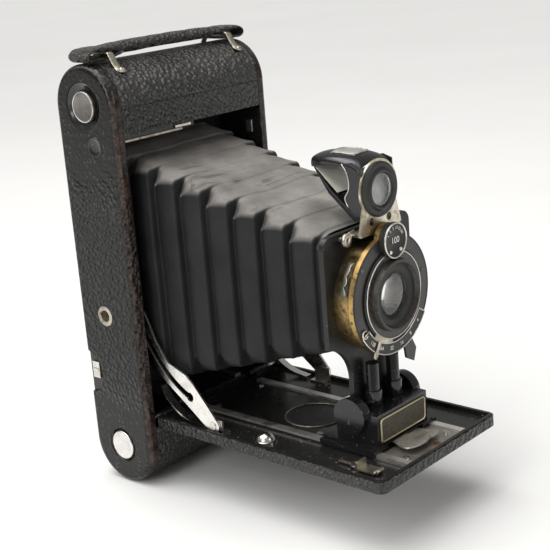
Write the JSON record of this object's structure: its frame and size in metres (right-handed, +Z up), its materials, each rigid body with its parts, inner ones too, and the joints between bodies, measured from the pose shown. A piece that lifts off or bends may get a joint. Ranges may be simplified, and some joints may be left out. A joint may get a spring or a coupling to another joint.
{
  "type": "folding camera",
  "caption": "Folding roll-film bellows camera standing open: leather-covered case, drop bed with rails and struts, front standard with leaf shutter, reflecting finder and strap handle.",
  "frame": {"origin": "middle of the whole camera's outer box, at its lowest point", "axes": "+Z up along the case, the lens looks along -Y, +X towards the winding key"},
  "size_m": [0.1141, 0.1924, 0.2294],
  "materials": {
    "pebble_leather": "pebble grain, edges worn brown",
    "bellows_leather": "matt charcoal",
    "black_enamel": "semi-gloss black",
    "nickel": "worn nickel plate",
    "steel": "blackened",
    "brass": "worn and tarnished",
    "optical_glass": "clear",
    "silvering": "silvered",
    "ruby_glass": "deep red"
  },
  "bodies": {
    "case": {"body_casting": "black_enamel", "side_leather": "pebble_leather", "body_leather": "pebble_leather", "film_gate": "black_enamel", "bellows_rear_frame": "black_enamel", "bellows": "bellows_leather", "inner_rails": "nickel", "striker_plate": "nickel", "side_tripod_socket": "brass", "handle_bails": "nickel", "handle_strap": "pebble_leather", "bed_tray": "black_enamel", "bed_leather": "pebble_leather", "bed_hinge_pin": "nickel", "bed_tripod_socket": "brass", "track_plate": "black_enamel", "track_rails": "nickel", "bed_fasteners": "nickel", "leg_bracket": "nickel", "strut_pivots": "nickel", "strut_springs": "nickel"},
    "standard": {"foot_casting": "black_enamel", "nameplate": "brass", "support_pillars": "black_enamel", "standard_frame": "black_enamel", "shutter_case": "brass", "shutter_blades": "black_enamel", "shutter_face": "black_enamel", "aperture_scale": "black_enamel", "lens_mount": "black_enamel", "front_lens": "optical_glass", "rear_lens": "optical_glass", "finder_plate": "nickel"},
    "tab_left": {"clamp_tab_left": "nickel"},
    "tab_right": {"clamp_tab_right": "nickel"},
    "pointer": {"aperture_pointer": "nickel"},
    "dial": {"speed_dial": "black_enamel"},
    "shutter_lever": {"release_lever": "black_enamel"},
    "finder": {"finder_body": "black_enamel", "finder_lenses": "optical_glass", "finder_mirror": "silvering"},
    "focus_stop": {"focus_stop_lever": "nickel"},
    "leg": {"support_leg": "nickel"},
    "left_strut": {"strut_left": "nickel"},
    "right_strut": {"strut_right": "nickel"},
    "take_up": {"winding_key": "nickel", "take_up_spool": "black_enamel"},
    "wing": {"key_wing": "nickel"},
    "upper_pin": {"spool_pin_upper": "nickel"},
    "lower_pin": {"spool_pin_lower": "nickel"},
    "upper_roller": {"film_roller_upper": "nickel"},
    "lower_roller": {"film_roller_lower": "nickel"},
    "release_button": {"bed_release_button": "steel"},
    "back": {"back_cover": "black_enamel", "back_leather": "pebble_leather", "pressure_plate": "steel", "ruby_window": "ruby_glass"},
    "latch": {"back_latch": "nickel"},
    "door": {"record_door": "black_enamel"},
    "pencil": {"stylus": "nickel"}
  },
  "joints": [
    {"name": "front_slide", "type": "slide", "parent": "case", "child": "standard", "axis": [0, 1, 0], "range_m": [0, 0.1], "deforming": ["bellows"]},
    {"name": "left_tab_squeeze", "type": "hinge", "parent": "standard", "child": "tab_left", "pos_m": [-0.00805, -0.06805, 0.0398], "axis": [0, 0, 1], "range_deg": [0, 5], "stiffness_Nm_per_rad": 0.05},
    {"name": "right_tab_squeeze", "type": "hinge", "parent": "standard", "child": "tab_right", "pos_m": [0.00395, -0.06805, 0.0398], "axis": [0, 0, -1], "range_deg": [0, 5], "stiffness_Nm_per_rad": 0.05},
    {"name": "aperture_swing", "type": "hinge", "parent": "standard", "child": "pointer", "pos_m": [-0.00205, -0.07205, 0.1105], "axis": [0, -1, 0], "range_deg": [0, 60]},
    {"name": "speed_dial_turn", "type": "hinge", "parent": "standard", "child": "dial", "pos_m": [-0.00205, -0.07305, 0.137], "axis": [0, -1, 0], "range_deg": [0, 300]},
    {"name": "shutter_release_press", "type": "hinge", "parent": "standard", "child": "shutter_lever", "pos_m": [0.01195, -0.06635, 0.088], "axis": [0, -1, 0], "range_deg": [0, 8], "stiffness_Nm_per_rad": 0.02, "springref_deg": -2.86},
    {"name": "finder_turn", "type": "hinge", "parent": "standard", "child": "finder", "pos_m": [-0.00205, -0.06605, 0.1605], "axis": [0, 1, 0], "range_deg": [0, 90]},
    {"name": "focus_stop_swing", "type": "hinge", "parent": "case", "child": "focus_stop", "pos_m": [-0.03805, -0.07205, 0.0377], "axis": [0, 0, 1], "range_deg": [0, 12]},
    {"name": "support_leg_swing", "type": "hinge", "parent": "case", "child": "leg", "pos_m": [-0.00205, -0.08905, 0.0319], "axis": [-1, 0, 0], "range_deg": [0, 90]},
    {"name": "left_strut_press", "type": "hinge", "parent": "case", "child": "left_strut", "pos_m": [-0.04605, 0.01165, 0.0413], "axis": [-1, 0, 0], "range_deg": [0, 5], "stiffness_Nm_per_rad": 0.2, "springref_deg": -5.73},
    {"name": "right_strut_press", "type": "hinge", "parent": "case", "child": "right_strut", "pos_m": [0.04195, 0.01165, 0.0413], "axis": [-1, 0, 0], "range_deg": [0, 5], "stiffness_Nm_per_rad": 0.2, "springref_deg": -5.73},
    {"name": "winding_turn", "type": "hinge", "parent": "case", "child": "take_up", "pos_m": [-0.00205, 0.07095, 0.2012], "axis": [1, 0, 0], "continuous": true},
    {"name": "key_wing_fold", "type": "hinge", "parent": "take_up", "child": "wing", "pos_m": [0.05545, 0.07095, 0.2012], "axis": [0, 1, 0], "range_deg": [0, 90]},
    {"name": "upper_pin_pull", "type": "slide", "parent": "case", "child": "upper_pin", "axis": [-1, 0, 0], "range_m": [0, 0.006], "stiffness_N_per_m": 300},
    {"name": "lower_pin_pull", "type": "slide", "parent": "case", "child": "lower_pin", "axis": [-1, 0, 0], "range_m": [0, 0.006], "stiffness_N_per_m": 300},
    {"name": "upper_roller_turn", "type": "hinge", "parent": "case", "child": "upper_roller", "pos_m": [-0.00205, 0.08435, 0.192], "axis": [1, 0, 0], "continuous": true},
    {"name": "lower_roller_turn", "type": "hinge", "parent": "case", "child": "lower_roller", "pos_m": [-0.00205, 0.08435, 0.0292], "axis": [1, 0, 0], "continuous": true},
    {"name": "bed_release_press", "type": "slide", "parent": "case", "child": "release_button", "axis": [1, 0, 0], "range_m": [0, 0.0016], "stiffness_N_per_m": 400},
    {"name": "back_lift", "type": "slide", "parent": "case", "child": "back", "axis": [0, 1, 0], "range_m": [0, 0.03]},
    {"name": "back_latch_slide", "type": "slide", "parent": "back", "child": "latch", "axis": [0, 0, -1], "range_m": [0, 0.004]},
    {"name": "record_door_swing", "type": "hinge", "parent": "back", "child": "door", "pos_m": [-0.00205, 0.09385, 0.0349], "axis": [-1, 0, 0], "range_deg": [0, 110]},
    {"name": "stylus_draw", "type": "slide", "parent": "back", "child": "pencil", "axis": [1, 0, 0], "range_m": [0, 0.045]}
  ],
  "couplings": [
    {"joint": "right_tab_squeeze", "follows": "left_tab_squeeze", "ratio": 1}
  ]
}
